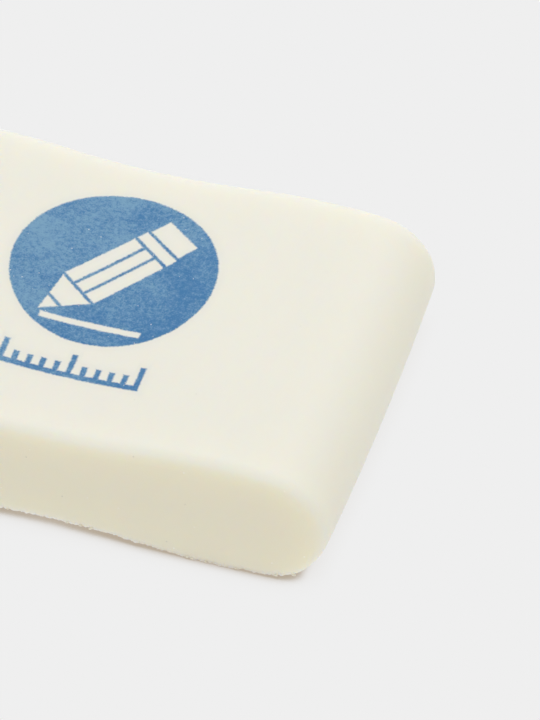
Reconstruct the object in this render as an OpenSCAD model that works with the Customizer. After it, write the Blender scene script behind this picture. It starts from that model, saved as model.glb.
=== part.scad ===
// Rubber eraser: one solid block, cut from a moulded bar.
// Its long section is a flat dog-bone: the broad faces dip at the waist, swell to
// a crown near each end and close in full round noses. The two long sides are flat
// cuts. The edges round the top are soft, and those underneath are left sharp.
//
// Frame: +X along the length, +Y across the width, +Z up. The origin is at the
// middle of the footprint, on the surface that the two lower crowns rest on.

/* [Block] */
// Length over both noses
length = 42; // [38:0.5:60]
// Width between the two cut sides
width = 27.5; // [15:0.5:40]
// Thickness at the crowns, where the block is thickest
crown_thickness = 10; // [8:0.1:14]

/* [Broad faces] */
// Depth of the dip at the waist, on each broad face
waist_dip = 0.8; // [0.3:0.05:1.2]
// Distance from the tip of each nose back to the crown next to it
crown_inset = 8.6; // [7:0.1:9.5]
// How much less the radius of each nose is than half the thickness at the crown
nose_relief = 0.2; // [0.1:0.05:0.4]

/* [Edges] */
// Radius of the soft edge along the top of each cut side
edge_radius = 1.2; // [0.4:0.1:2]
// How much larger than the nose the rim is that fades the soft edge out below the tip
fade_radius = 2.6; // [1.6:0.1:5]

/* [Quality] */
// Segments in the large arcs of the section
large_segments = 240; // [120:60:480]
// Segments in the soft edge
edge_segments = 48; // [24:12:96]

/* [Hidden] */

rubber_cream = [0.93, 0.92, 0.86];

// The section is symmetric about its own mid height, so every height here is
// measured from there, and the finished block is lifted by half its thickness.
half_length = length / 2;
half_thickness = crown_thickness / 2;

// Nose arc: its centre lies on the mid height.
nose_radius = half_thickness - nose_relief;
nose_x = half_length - nose_radius;

// Crown arc of the top face: it holds the nose arc and touches it from inside.
crown_x = half_length - crown_inset;
crown_to_nose = nose_x - crown_x;
crown_radius = (pow(crown_to_nose, 2) + pow(half_thickness, 2) - pow(nose_radius, 2)) / (2 * nose_relief);
crown_z = half_thickness - crown_radius;

// Waist arc of the top face: centred over the middle, it touches both crown arcs.
waist_to_crown = (pow(crown_x, 2) + pow(waist_dip, 2)) / (2 * waist_dip);
waist_radius = waist_to_crown - crown_radius;
waist_z = half_thickness - waist_dip + waist_radius;

// Two arcs meet on the line through their centres. At a height above the middle,
// these are the places of the line from waist to crown and from crown to nose.
function waist_end_x(z) = crown_x * (waist_z - z) / (waist_z - crown_z);
function crown_end_x(z) = nose_x - crown_to_nose * z / crown_z;

// Distance that clears the block's faces and ends
clear = 2;
clear_z = half_thickness + clear;
clear_x = half_length + clear;
// Depth to which each section reaches into the next one inward, which holds it all
overlap = 2;

// Flat strip between two radii, for turning about an axis
module strip(inner, outer, strip_width)
    translate([inner, -strip_width / 2])
        square([outer - inner, strip_width]);

// The two bits that a soft edge takes off a strip at a radius. The inward side is
// 1 where the strip ends at this radius, and -1 where it starts there.
module edge_bits(radius, inward)
    for (end = [-1, 1])
        difference() {
            translate([radius - inward * edge_radius / 2, end * (width - edge_radius) / 2])
                square([edge_radius, edge_radius], center = true);
            translate([radius - inward * edge_radius, end * (width / 2 - edge_radius)])
                circle(r = edge_radius, $fn = edge_segments);
        }

// Turns a flat shape about an axis parallel to Y, at the given place.
module turned(x, z)
    translate([x, 0, z])
        rotate([90, 0, 0])
            rotate_extrude($fn = large_segments)
                children();

// Wheel with sharp rims, which stand past the sides of the block
module sharp_wheel(x, z, radius)
    turned(x, z)
        strip(0, radius, width + 2 * clear);

// Wheel with soft rims, as wide as the block
module soft_wheel(x, z, radius)
    turned(x, z)
        difference() {
            strip(0, radius, width);
            edge_bits(radius, 1);
        }

// Ring with soft rims round its hole, as wide as the block
module soft_holed_ring(x, z, hole_radius, depth)
    turned(x, z)
        difference() {
            strip(hole_radius, hole_radius + depth, width);
            edge_bits(hole_radius, -1);
        }

// Space across the whole width, inside an outline in X and Z
module slice(outline)
    rotate([90, 0, 0])
        linear_extrude(height = width + 2 * clear, center = true)
            polygon(outline);

// Middle of the block, under the waist arc: it ends where the crown arcs begin
module waist()
    difference() {
        intersection() {
            slice([
                [waist_end_x(0), 0], [waist_end_x(clear_z), clear_z],
                [-waist_end_x(clear_z), clear_z], [-waist_end_x(0), 0],
                [-waist_end_x(clear_z), -clear_z], [waist_end_x(clear_z), -clear_z]
            ]);
            soft_holed_ring(0, waist_z, waist_radius, 2 * crown_thickness);
        }
        sharp_wheel(0, -waist_z, waist_radius);
    }

// Swelling towards one end, between two crown arcs: it ends where the nose begins
module crown()
    intersection() {
        slice([
            [crown_end_x(0), 0], [crown_end_x(clear_z), clear_z],
            [waist_end_x(0) - overlap, clear_z], [waist_end_x(0) - overlap, -clear_z],
            [crown_end_x(clear_z), -clear_z]
        ]);
        soft_wheel(crown_x, crown_z, crown_radius);
        sharp_wheel(crown_x, -crown_z, crown_radius);
    }

// Space round one nose, from the mid height to the given height
module nose_space(z)
    slice([[nose_x - overlap, 0], [nose_x - overlap, z], [clear_x, z], [clear_x, 0]]);

// Full round end. Its soft edges run down to the tip and fade out below it, where
// a larger soft wheel, which touches the nose at the tip, moves away from it.
module nose() {
    intersection() {
        nose_space(clear_z);
        soft_wheel(nose_x, 0, nose_radius);
    }
    intersection() {
        nose_space(-clear_z);
        sharp_wheel(nose_x, 0, nose_radius);
        soft_wheel(nose_x - fade_radius, 0, nose_radius + fade_radius);
    }
}

module eraser()
    color(rubber_cream)
        translate([0, 0, half_thickness]) {
            waist();
            for (end = [0, 1])
                mirror([end, 0, 0]) {
                    crown();
                    nose();
                }
        }

eraser();
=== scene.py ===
"""Visual model of a rubber eraser.

A cream block with a waist and full round noses. Its long sides are flat cuts, soft
along the top edge and left sharp and ragged underneath. A blue pad print lies on top:
a plain pencil on a disc, the line it draws, and a short millimetre scale.
"""
import math
import random

import bpy
import mathutils
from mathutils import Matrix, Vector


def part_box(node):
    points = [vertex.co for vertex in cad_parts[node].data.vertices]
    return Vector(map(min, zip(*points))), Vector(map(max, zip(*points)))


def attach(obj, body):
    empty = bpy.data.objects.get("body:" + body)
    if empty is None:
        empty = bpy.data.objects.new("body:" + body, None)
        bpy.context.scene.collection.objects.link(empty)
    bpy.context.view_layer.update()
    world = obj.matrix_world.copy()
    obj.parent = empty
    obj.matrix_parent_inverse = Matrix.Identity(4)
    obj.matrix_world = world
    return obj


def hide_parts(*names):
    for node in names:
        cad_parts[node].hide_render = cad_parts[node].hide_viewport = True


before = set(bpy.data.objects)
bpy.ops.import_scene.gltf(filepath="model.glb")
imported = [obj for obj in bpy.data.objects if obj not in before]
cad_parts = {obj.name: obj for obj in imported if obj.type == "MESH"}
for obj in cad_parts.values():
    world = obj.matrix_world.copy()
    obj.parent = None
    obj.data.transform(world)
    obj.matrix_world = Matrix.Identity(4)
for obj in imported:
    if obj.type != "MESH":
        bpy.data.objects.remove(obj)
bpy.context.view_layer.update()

mm = 0.001

# ---------------------------------------------------------------- sizes of the block
low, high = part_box("eraser")
half_length = (high[0] - low[0]) / 2
half_width = (high[1] - low[1]) / 2
half_thickness = (high[2] - low[2]) / 2
mid_height = (high[2] + low[2]) / 2

waist_dip = 0.8 * mm
crown_inset = 8.6 * mm
nose_relief = 0.2 * mm
edge_radius = 1.2 * mm
fade_radius = 2.6 * mm
end_bow = 0.3 * mm  # how far the ends of each nose fall back from its middle

# Arcs of the long section, each touching the next.
nose_radius = half_thickness - nose_relief
nose_x = half_length - nose_radius
crown_x = half_length - crown_inset
crown_to_nose = nose_x - crown_x
crown_radius = (crown_to_nose ** 2 + half_thickness ** 2 - nose_radius ** 2) / (2 * nose_relief)
crown_z = half_thickness - crown_radius
waist_to_crown = (crown_x ** 2 + waist_dip ** 2) / (2 * waist_dip)
waist_radius = waist_to_crown - crown_radius
waist_z = half_thickness - waist_dip + waist_radius
waist_turn = math.atan2(crown_x, waist_z - crown_z)
nose_lean = math.atan2(crown_to_nose, -crown_z)


# ---------------------------------------------------------------- modelling helpers
def deselect():
    """Leaves nothing selected, so that an operator acts only on what comes next."""
    bpy.ops.object.select_all(action="DESELECT")


def choose(piece):
    """Makes one piece the only selected and active object."""
    deselect()
    piece.select_set(True)
    bpy.context.view_layer.objects.active = piece


def start_point(name, x, y, z):
    """Starts a piece as one point, and leaves it in edit mode."""
    deselect()
    bpy.ops.mesh.primitive_plane_add(size=mm)
    piece = bpy.context.object
    piece.name = name
    bpy.ops.object.mode_set(mode="EDIT")
    bpy.ops.mesh.merge(type="CENTER")
    bpy.ops.transform.translate(value=(x, y, z))
    return piece


def swing(centre_x, centre_z, y, radius, turn, step):
    """Swings the selected point clockwise, seen from the front, and leaves an arc of edges."""
    steps = max(2, round(abs(turn) * radius / step))
    bpy.ops.mesh.spin(steps=steps, angle=-turn, center=(centre_x, y, mid_height + centre_z), axis=(0, 1, 0))


def select_edges(piece, wanted):
    """In edit mode, selects the edges whose two ends both pass the test."""
    bpy.ops.mesh.select_mode(type="EDGE")
    bpy.ops.mesh.select_all(action="DESELECT")
    bpy.ops.object.mode_set(mode="OBJECT")
    points = piece.data.vertices
    for edge in piece.data.edges:
        edge.select = all(wanted(points[i].co) for i in edge.vertices)
    bpy.ops.object.mode_set(mode="EDIT")


def apply_modifier(piece, kind, **settings):
    """Adds a modifier with the given settings and applies it."""
    choose(piece)
    modifier = piece.modifiers.new(kind.title(), kind)
    for key, value in settings.items():
        setattr(modifier, key, value)
    bpy.ops.object.modifier_apply(modifier=modifier.name)


def weight_group(piece, name, weight):
    """Makes a vertex group whose weights follow a rule of place."""
    group = piece.vertex_groups.new(name=name)
    for point in piece.data.vertices:
        group.add([point.index], min(max(weight(point.co), 0.0), 1.0), "REPLACE")
    return group.name


def clouds(name, size, depth=2):
    """A soft noise for uneven surfaces, with features of about the given size."""
    texture = bpy.data.textures.new(name, "CLOUDS")
    texture.noise_scale = size
    texture.noise_depth = depth
    return texture


# ---------------------------------------------------------------- the block
top_step = 0.3 * mm
foot_step = 0.11 * mm
nose_step = 0.11 * mm  # under two degrees of turn, so that an edge of changing softness stays even
strips = 20
edge_facets = 8
outer_ring = 0.3 * mm
inner_ring = 0.15 * mm
near_enough = 0.01 * mm  # closer than this, a point counts as lying on a face or a plane
least_softness = 0.04
crease_angle = math.radians(40)

# The torn feet of the cuts.
tear_inset = 0.12 * mm
tear_fade = 0.1 * mm
tear_rise = 0.12 * mm
tear_span = 3.2 * mm
tear_start = 0.35
tear_level = 0.6  # above a half, so that more breaks away than stands out
tear_layers = ((0.2 * mm, 0.42 * mm), (1.1 * mm, 0.25 * mm))  # size of the features, and their reach


def draw_right_outline(y):
    """Draws the right half of the section as five arcs, from the top of the waist to its foot."""
    swing(0, waist_z, y, waist_radius, -waist_turn, top_step)
    swing(crown_x, crown_z, y, crown_radius, waist_turn + nose_lean, top_step)
    swing(nose_x, 0, y, nose_radius, math.pi - 2 * nose_lean, nose_step)
    swing(crown_x, -crown_z, y, crown_radius, waist_turn + nose_lean, foot_step)
    swing(0, -waist_z, y, waist_radius, -waist_turn, foot_step)


def edge_softness(x, z):
    """1 where a side's edge is fully soft, and near 0 underneath, where it was left sharp."""
    if z >= mid_height:
        return 1.0
    past_tip = math.atan2(mid_height - z, max(abs(x) - nose_x, 0.0))
    return max(least_softness, 1.0 - fade_radius / edge_radius * (1 - math.cos(past_tip)))


def frame_the_sides(piece):
    """Sets two narrow rings inside each cut side, so that its ragged foot leaves the rest flat."""
    for side in (-1, 1):
        choose(piece)
        for face in piece.data.polygons:
            face.select = side * face.normal.y > 0.99 and face.area > half_length * half_thickness
        bpy.ops.object.mode_set(mode="EDIT")
        bpy.ops.mesh.select_mode(type="FACE")
        bpy.ops.mesh.inset(thickness=outer_ring, depth=0)
        bpy.ops.mesh.inset(thickness=inner_ring, depth=0)
        bpy.ops.object.mode_set(mode="OBJECT")


def soften_side_edges(piece):
    """Rounds the edges of both cut sides, by as much as each place asks for."""
    mesh = piece.data
    softness = mesh.attributes.new("bevel_weight_edge", "FLOAT", "EDGE")
    for edge in mesh.edges:
        a, b = (mesh.vertices[i].co for i in edge.vertices)
        on_side = min(abs(a.y), abs(b.y)) > half_width - near_enough
        if on_side and abs(a.y - b.y) < near_enough:
            softness.data[edge.index].value = edge_softness((a.x + b.x) / 2, (a.z + b.z) / 2)
    apply_modifier(piece, "BEVEL", limit_method="WEIGHT", width=edge_radius, segments=edge_facets,
                   use_clamp_overlap=False)


def bow_the_noses(piece):
    """Draws the ends of each nose back a little, so that seen from above it is gently bowed."""
    for end, name in ((1, "right_nose"), (-1, "left_nose")):
        def pull(co, end=end):
            reach = (end * co.x - crown_x / 2) / (half_length - crown_x / 2)
            return max(reach, 0.0) ** 2 * (co.y / half_width) ** 2
        group = weight_group(piece, name, pull)
        apply_modifier(piece, "DISPLACE", direction="X", strength=-end * end_bow, mid_level=0.0,
                       vertex_group=group)


def tear_lower_edges(piece):
    """Leaves the foot of each cut ragged, where the blade broke out of the rubber."""
    for side, name in ((-1, "front_foot"), (1, "back_foot")):
        def at_foot(co, side=side):
            near_side = (side * co.y - (half_width - tear_inset)) / tear_fade
            below = (mid_height - co.z) / tear_span - tear_start
            return min(max(near_side, 0.0), 1.0) * min(max(below, 0.0), 1.0) * at_rim(co)
        group = weight_group(piece, name, at_foot)
        for size, reach in tear_layers:
            apply_modifier(piece, "DISPLACE", direction="Y", strength=side * reach, mid_level=tear_level,
                           vertex_group=group, texture=clouds(name, size), texture_coords="LOCAL")


def foot_height(x):
    """Height of the underside above the ground at a place along the block."""
    x = abs(x)
    if x < crown_x * (waist_z / (waist_z - crown_z)):
        return mid_height - waist_z + math.sqrt(waist_radius ** 2 - x ** 2)
    if x < nose_x:
        return mid_height - crown_z - math.sqrt(crown_radius ** 2 - (x - crown_x) ** 2)
    return mid_height - math.sqrt(max(nose_radius ** 2 - (x - nose_x) ** 2, 0.0))


def at_rim(co):
    """1 on the lower rim of the section, fading to 0 a little way above it."""
    return max(0.0, 1.0 - (co.z - foot_height(co.x)) / tear_rise)


def make_block():
    piece = start_point("eraser_block", 0, -half_width, mid_height + half_thickness - waist_dip)
    draw_right_outline(-half_width)
    bpy.ops.mesh.select_all(action="SELECT")
    for strip in range(strips):
        bpy.ops.mesh.extrude_edges_move(
            TRANSFORM_OT_translate={"value": (0, 2 * half_width / strips, 0)})
    bpy.ops.object.mode_set(mode="OBJECT")
    apply_modifier(piece, "MIRROR", use_axis=(True, False, False), use_clip=True,
                   merge_threshold=near_enough)
    bpy.ops.object.mode_set(mode="EDIT")
    for side in (-1, 1):
        select_edges(piece, lambda co: abs(co.y - side * half_width) < near_enough)
        bpy.ops.mesh.edge_face_add()
    bpy.ops.mesh.select_all(action="SELECT")
    bpy.ops.mesh.normals_make_consistent(inside=False)
    bpy.ops.object.mode_set(mode="OBJECT")
    soften_side_edges(piece)
    frame_the_sides(piece)
    tear_lower_edges(piece)
    bow_the_noses(piece)
    choose(piece)
    bpy.ops.object.shade_smooth_by_angle(angle=crease_angle)
    return piece


# ---------------------------------------------------------------- crumbs along the cuts
crumb_count = 26
crumb_reach = 19
crumb_size = (0.05, 0.1)
crumb_lift = (1.0, 1.5)
crumb_stretch = ((1.0, 2.4), (0.8, 1.3), (0.5, 0.8))
crumb_tilt = ((-0.5, 0.5), (-0.4, 0.4), (-0.4, 0.4))
crumb_roughness = 0.05 * mm


def make_crumbs():
    """Tiny slivers of rubber that still cling to the lower edges of the two cuts."""
    draw = random.Random(7)
    crumbs = []
    for number in range(crumb_count):
        side = -1 if number % 2 else 1
        x = draw.uniform(-crumb_reach, crumb_reach) * mm
        size = draw.uniform(*crumb_size) * mm
        z = foot_height(x) + size * draw.uniform(*crumb_lift)
        deselect()
        bpy.ops.mesh.primitive_ico_sphere_add(subdivisions=2, radius=size,
                                              location=(x, side * half_width, z))
        crumb = bpy.context.object
        crumb.scale = [draw.uniform(*span) for span in crumb_stretch]
        crumb.rotation_euler = [draw.uniform(*span) for span in crumb_tilt]
        bpy.ops.object.transform_apply(location=True, rotation=True, scale=True)
        crumbs.append(crumb)
    deselect()
    for crumb in crumbs:
        crumb.select_set(True)
    bpy.context.view_layer.objects.active = crumbs[0]
    bpy.ops.object.join()
    piece = bpy.context.object
    piece.name = "cut_crumbs"
    apply_modifier(piece, "DISPLACE", strength=crumb_roughness, mid_level=0.5,
                   texture=clouds("crumb", 0.09 * mm), texture_coords="LOCAL")
    bpy.ops.object.shade_smooth()
    return piece


# ---------------------------------------------------------------- fields for materials
class Field:
    """A number that varies from place to place on a surface, held as a node socket."""

    def __init__(self, tree, socket):
        self.tree = tree
        self.socket = socket

    def worked(self, operation, *others):
        node = self.tree.nodes.new("ShaderNodeMath")
        node.operation = operation
        for place, value in enumerate((self, *others)):
            feed(self.tree, value, node.inputs[place])
        return Field(self.tree, node.outputs[0])

    def __add__(self, other):
        return self.worked("ADD", other)

    def __sub__(self, other):
        return self.worked("SUBTRACT", other)

    def __mul__(self, other):
        return self.worked("MULTIPLY", other)

    def __neg__(self):
        return self.worked("MULTIPLY", -1.0)

    def __abs__(self):
        return self.worked("ABSOLUTE")

    def shared(self, other):
        """The overlap of two shapes, each negative inside."""
        return self.worked("MAXIMUM", other)

    def joined(self, other):
        """Two shapes as one, each negative inside."""
        return self.worked("MINIMUM", other)

    def ramp(self, start, end):
        """0 before start, 1 past end, and a smooth change between them."""
        node = self.tree.nodes.new("ShaderNodeMapRange")
        node.interpolation_type = "SMOOTHSTEP"
        feed(self.tree, self, node.inputs["Value"])
        node.inputs["From Min"].default_value = start
        node.inputs["From Max"].default_value = end
        return Field(self.tree, node.outputs["Result"])


def feed(tree, value, socket):
    """Links a field or a socket to another, or sets a plain number or colour on it."""
    if isinstance(value, Field):
        tree.links.new(value.socket, socket)
    elif isinstance(value, bpy.types.NodeSocket):
        tree.links.new(value, socket)
    else:
        socket.default_value = value


def block_place(tree):
    """The object's own X, Y and Z as fields in millimetres, and as a vector."""
    place = tree.nodes.new("ShaderNodeTexCoord").outputs["Object"]
    split = tree.nodes.new("ShaderNodeSeparateXYZ")
    tree.links.new(place, split.inputs[0])
    return [Field(tree, out) * (1 / mm) for out in split.outputs] + [place]


def grain(tree, place, size, detail=2.0):
    """Noise from 0 to 1 with features of about the given size in millimetres."""
    node = tree.nodes.new("ShaderNodeTexNoise")
    tree.links.new(place, node.inputs["Vector"])
    node.inputs["Scale"].default_value = 1 / (size * mm)
    node.inputs["Detail"].default_value = detail
    return Field(tree, node.outputs["Fac"])


def specks(tree, place, spacing, radius, share):
    """1 inside small round specks, of which only the given share of cells has one."""
    node = tree.nodes.new("ShaderNodeTexVoronoi")
    tree.links.new(place, node.inputs["Vector"])
    node.inputs["Scale"].default_value = 1 / (spacing * mm)
    split = tree.nodes.new("ShaderNodeSeparateColor")
    tree.links.new(node.outputs["Color"], split.inputs[0])
    near = Field(tree, node.outputs["Distance"]).ramp(radius / spacing, 0.6 * radius / spacing)
    return near * Field(tree, split.outputs[0]).worked("LESS_THAN", share)


def blend(tree, amount, first, second, kind="MIX"):
    """Blends two colours by a field."""
    node = tree.nodes.new("ShaderNodeMix")
    node.data_type = "RGBA"
    node.blend_type = kind
    feed(tree, amount, node.inputs[0])
    for socket, value in ((node.inputs[6], first), (node.inputs[7], second)):
        feed(tree, value, socket)
    return node.outputs[2]


# ---------------------------------------------------------------- the pad print
# All in millimetres on the broad face, from the middle of the block or of the disc.
disc_centre = (0.0, 2.8)
disc_radius = 7.4
pencil_turn = math.radians(52)
pencil_half = 1.8
pencil_point = -6.4
pencil_shoulder = -2.9
pencil_lead = -4.9
pencil_ferrule = 3.0
pencil_stub = 4.1
pencil_end = 6.0
pencil_gap = 0.28
pencil_edge = 0.6
stub_slimmer = 0.15
line_drop = 5.55
line_reach = 3.7
line_half = 0.25
scale_foot = -8.0
scale_reach = 5.0
tick_half = 0.22
short_tick = 1.35
long_tick_extra = 0.95


def bar(u, v, start, end, half):
    """A straight bar along u, centred on v = 0."""
    return (abs(u - (start + end) / 2) - (end - start) / 2).shared(abs(v) - half)


def pencil(x, y):
    """A plain pencil, point down to the left, drawn as separate plates."""
    turn_x, turn_y = math.cos(pencil_turn), math.sin(pencil_turn)
    u = x * turn_x + y * turn_y
    v = y * turn_x - x * turn_y
    edge_lines = -(abs(abs(v) - pencil_edge) - pencil_gap / 2)
    barrel = bar(u, v, pencil_shoulder, pencil_ferrule, pencil_half).shared(edge_lines)
    ferrule = bar(u, v, pencil_ferrule + pencil_gap, pencil_stub, pencil_half)
    stub = bar(u, v, pencil_stub + pencil_gap, pencil_end, pencil_half - stub_slimmer)
    slope = pencil_half / (pencil_shoulder - pencil_point)
    taper = (abs(v) - (u - pencil_point) * slope) * math.cos(math.atan(slope))
    wood = taper.shared(u - (pencil_shoulder - pencil_gap)).shared(-u + pencil_lead)
    lead = taper.shared(u - (pencil_lead - pencil_gap))
    return barrel.joined(ferrule).joined(stub).joined(wood).joined(lead)


def drawn_line(x, y):
    """The straight line that the pencil is drawing."""
    return bar(x, y + line_drop, -line_reach, line_reach, line_half)


def scale_marks(x, y):
    """A short plain millimetre scale."""
    half_scale = scale_reach + tick_half
    ground = bar(x, y - (scale_foot + line_half), -half_scale, half_scale, line_half)
    nearest = abs(x - x.worked("ROUND")) - tick_half
    fifth = abs(x * 0.2 - (x * 0.2).worked("ROUND")).worked("LESS_THAN", 0.1)
    height = y - scale_foot - short_tick - fifth * long_tick_extra
    ticks = nearest.shared(abs(x) - half_scale).shared(height).shared(-(y - scale_foot))
    return ground.joined(ticks)


def print_shape(x, y):
    """Distance to the inked shape in millimetres, negative where there is ink."""
    across = x - disc_centre[0]
    up = y - disc_centre[1]
    disc = (across * across + up * up).worked("SQRT") - disc_radius
    plates = pencil(across, up).joined(drawn_line(across, up))
    return disc.shared(-plates).joined(scale_marks(x, y))


# ---------------------------------------------------------------- materials
cream = (0.862, 0.843, 0.755, 1)
# Warmer, darker copies of the cream: painted shade on the noses and on the cut sides.
nose_cream_painted_shade = (0.862, 0.84, 0.725, 1)
cut_cream_and_painted_shade = (0.87, 0.825, 0.665, 1)
cloud_shade = (0.985, 1.0, 0.985, 1)
light_fleck = (0.97, 0.96, 0.9, 1)
dark_fleck = (0.42, 0.42, 0.38, 1)
crumb_cream = (0.9, 0.88, 0.78, 1)
deep_ink = (0.022, 0.178, 0.41, 1)
pale_ink = (0.18, 0.365, 0.535, 1)


def rubber_colour(tree, x, y, z, place):
    """Cream rubber, warmer on the noses and the cuts as painted shade, with faint clouds and small flecks.
    """
    painted_nose_shade_amount = abs(x).ramp(half_length / mm - 2.5, half_length / mm - 0.5)
    cut = abs(y).ramp(half_width / mm - 0.4, half_width / mm)
    # Painted shade: the noses turn away from the light overhead, so they take a warmer copy of the cream.
    colour = blend(tree, painted_nose_shade_amount, cream, nose_cream_painted_shade)
    # Painted shade: the cut sides face away from the light overhead, so they take a warmer, darker copy of
    # the cream.
    colour = blend(tree, cut, colour, cut_cream_and_painted_shade)
    cloudy = grain(tree, place, 4.0, 3.0).ramp(0.3, 0.7)
    colour = blend(tree, cloudy * 0.35, colour, cloud_shade, "MULTIPLY")
    light = specks(tree, place, 0.8, 0.075, 0.3) * (cut * 0.85 + 0.1)
    dark = specks(tree, place, 1.3, 0.07, 0.25) * (cut * 0.3 + 0.14)
    colour = blend(tree, light, colour, light_fleck)
    return blend(tree, dark, colour, dark_fleck)


def ink_colour(tree, x, y, place):
    """Blue ink that took unevenly: fine grain, broad pale areas, and small bare spots."""
    fine = grain(tree, place, 0.12, 1.0) * 1.4
    middle = grain(tree, place, 0.32) * 1.4
    broad = grain(tree, place, 3.2) * 1.2
    uneven = fine + middle + broad + (x - y * 0.5) * -0.03
    return blend(tree, uneven.ramp(1.45, 2.65), deep_ink, pale_ink)


def ink_cover(tree, x, y, z, place):
    """How much ink covers the rubber, with rough edges, and none but on top."""
    rough = (grain(tree, place, 0.16) - 0.5) * 0.16 + (grain(tree, place, 0.7) - 0.5) * 0.1
    shape = print_shape(x, y)
    solid = (shape + rough).ramp(0.08, -0.1)
    haze = shape.ramp(0.75, -0.1) * 0.045
    bare = specks(tree, place, 0.5, 0.055, 0.4)
    cover = (solid * (bare * -0.85 + 1.0) * 0.97).worked("MAXIMUM", haze)
    return cover * z.worked("GREATER_THAN", mid_height / mm)


def rubber_material():
    material = bpy.data.materials.new("printed_cream_rubber")
    material.use_nodes = True
    tree = material.node_tree
    shader = tree.nodes["Principled BSDF"]
    x, y, z, place = block_place(tree)
    rubber = rubber_colour(tree, x, y, z, place)
    ink = ink_colour(tree, x, y, place)
    cover = ink_cover(tree, x, y, z, place)
    tree.links.new(blend(tree, cover, rubber, ink), shader.inputs["Base Color"])
    shader.inputs["Roughness"].default_value = 0.58
    shader.inputs["Specular IOR Level"].default_value = 0.35
    shader.inputs["Subsurface Weight"].default_value = 1.0
    shader.inputs["Subsurface Radius"].default_value = (1.0, 0.85, 0.6)
    shader.inputs["Subsurface Scale"].default_value = 2.6 * mm
    bump = tree.nodes.new("ShaderNodeBump")
    bump.inputs["Strength"].default_value = 0.5
    bump.inputs["Distance"].default_value = 0.006 * mm
    height = grain(tree, place, 0.35, 3.0) + grain(tree, place, 1.8) * 1.5
    tree.links.new(height.socket, bump.inputs["Height"])
    tree.links.new(bump.outputs[0], shader.inputs["Normal"])
    return material


def crumb_material():
    material = bpy.data.materials.new("loose_rubber")
    material.use_nodes = True
    tree = material.node_tree
    shader = tree.nodes["Principled BSDF"]
    place = tree.nodes.new("ShaderNodeTexCoord").outputs["Object"]
    patch = grain(tree, place, 0.12).ramp(0.35, 0.65)
    tree.links.new(blend(tree, patch, cut_cream_and_painted_shade, crumb_cream), shader.inputs["Base Color"])
    shader.inputs["Roughness"].default_value = 0.7
    return material


# ---------------------------------------------------------------- pieces
block = make_block()
block.data.materials.clear()
block.data.materials.append(rubber_material())
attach(block, "root")
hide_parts("eraser")

crumbs = make_crumbs()
crumbs.data.materials.clear()
crumbs.data.materials.append(crumb_material())
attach(crumbs, "root")


# ---------------------------------------------------------------- floor, light and camera
floor_tone = 0.863
# Reach, depth and warm tint of the painted shadow on the floor.
contact_reach = 1.3 * mm
contact_depth = 3.4
overhang_reach = 2.4 * mm
overhang_share = 0.12
shade_tint = (1.5, 1.77, 2.1)
deepest_shade = 0.3
floor_size = 4


def hemmed_in(tree, reach, power):
    """How far the floor is closed in by rubber within the given reach, from 0 to 1."""
    open_sky = tree.nodes.new("ShaderNodeAmbientOcclusion")
    open_sky.samples = 16
    open_sky.inputs["Distance"].default_value = reach
    return (-Field(tree, open_sky.outputs["AO"]) + 1.0).worked("POWER", power)


def floor_material():
    """Evenly bright white paper, with a warm painted shadow that darkens it just where the rubber comes
    down to it.
    """
    material = bpy.data.materials.new("white_paper")
    material.use_nodes = True
    tree = material.node_tree
    shader = tree.nodes["Principled BSDF"]
    # Painted contact shadow: the paper's glow is cut back, warmly, where rubber hems it in.
    close = hemmed_in(tree, contact_reach, 4.0) * contact_depth
    covered = close + hemmed_in(tree, overhang_reach, 2.0) * overhang_share
    join = tree.nodes.new("ShaderNodeCombineXYZ")
    for channel, tint in enumerate(shade_tint):
        kept = (covered * -tint + 1.0).worked("MAXIMUM", 1.0 - deepest_shade * tint) * floor_tone
        tree.links.new(kept.socket, join.inputs[channel])
    shader.inputs["Base Color"].default_value = (0, 0, 0, 1)
    shader.inputs["Specular IOR Level"].default_value = 0
    shader.inputs["Emission Strength"].default_value = 1
    tree.links.new(join.outputs[0], shader.inputs["Emission Color"])
    return material


def make_floor():
    deselect()
    bpy.ops.mesh.primitive_plane_add(size=floor_size, location=(0, 0, 0))
    floor = bpy.context.object
    floor.name = "floor"
    floor.data.materials.append(floor_material())


sky_strength = 0.705
softboxes = (("overhead_softbox", (-0.02, 0, 0.4), 0.25), ("rear_softbox", (0, 0.22, 0.34), 0.34))
softbox_side = 0.35


def make_lights():
    world = bpy.data.worlds.new("studio")
    world.use_nodes = True
    world.node_tree.nodes["Background"].inputs["Color"].default_value = (1, 1, 1, 1)
    world.node_tree.nodes["Background"].inputs["Strength"].default_value = sky_strength
    bpy.context.scene.world = world
    for name, place, power in softboxes:
        data = bpy.data.lights.new(name, "AREA")
        data.size = softbox_side
        data.energy = power
        lamp = bpy.data.objects.new(name, data)
        bpy.context.collection.objects.link(lamp)
        lamp.location = place
        lamp.rotation_euler = mathutils.Vector(place).to_track_quat("Z", "Y").to_euler()


camera_azimuth = math.radians(17.38)
camera_elevation = math.radians(46.56)
camera_distance = 0.6
view_width = 38.06 * mm
aim = (11.89 * mm, 1.65 * mm, mid_height)


def make_camera():
    data = bpy.data.cameras.new("camera")
    camera = bpy.data.objects.new("camera", data)
    bpy.context.collection.objects.link(camera)
    flat = camera_distance * math.cos(camera_elevation)
    camera.location = (aim[0] + flat * math.sin(camera_azimuth),
                       aim[1] - flat * math.cos(camera_azimuth),
                       aim[2] + camera_distance * math.sin(camera_elevation))
    camera.rotation_euler = (math.pi / 2 - camera_elevation, 0, camera_azimuth)
    data.sensor_fit = "HORIZONTAL"
    data.lens = data.sensor_width * camera_distance / view_width
    data.clip_start = 0.01
    data.clip_end = 10
    bpy.context.scene.camera = camera


make_floor()
make_lights()
make_camera()
bpy.context.scene.view_settings.view_transform = "Standard"
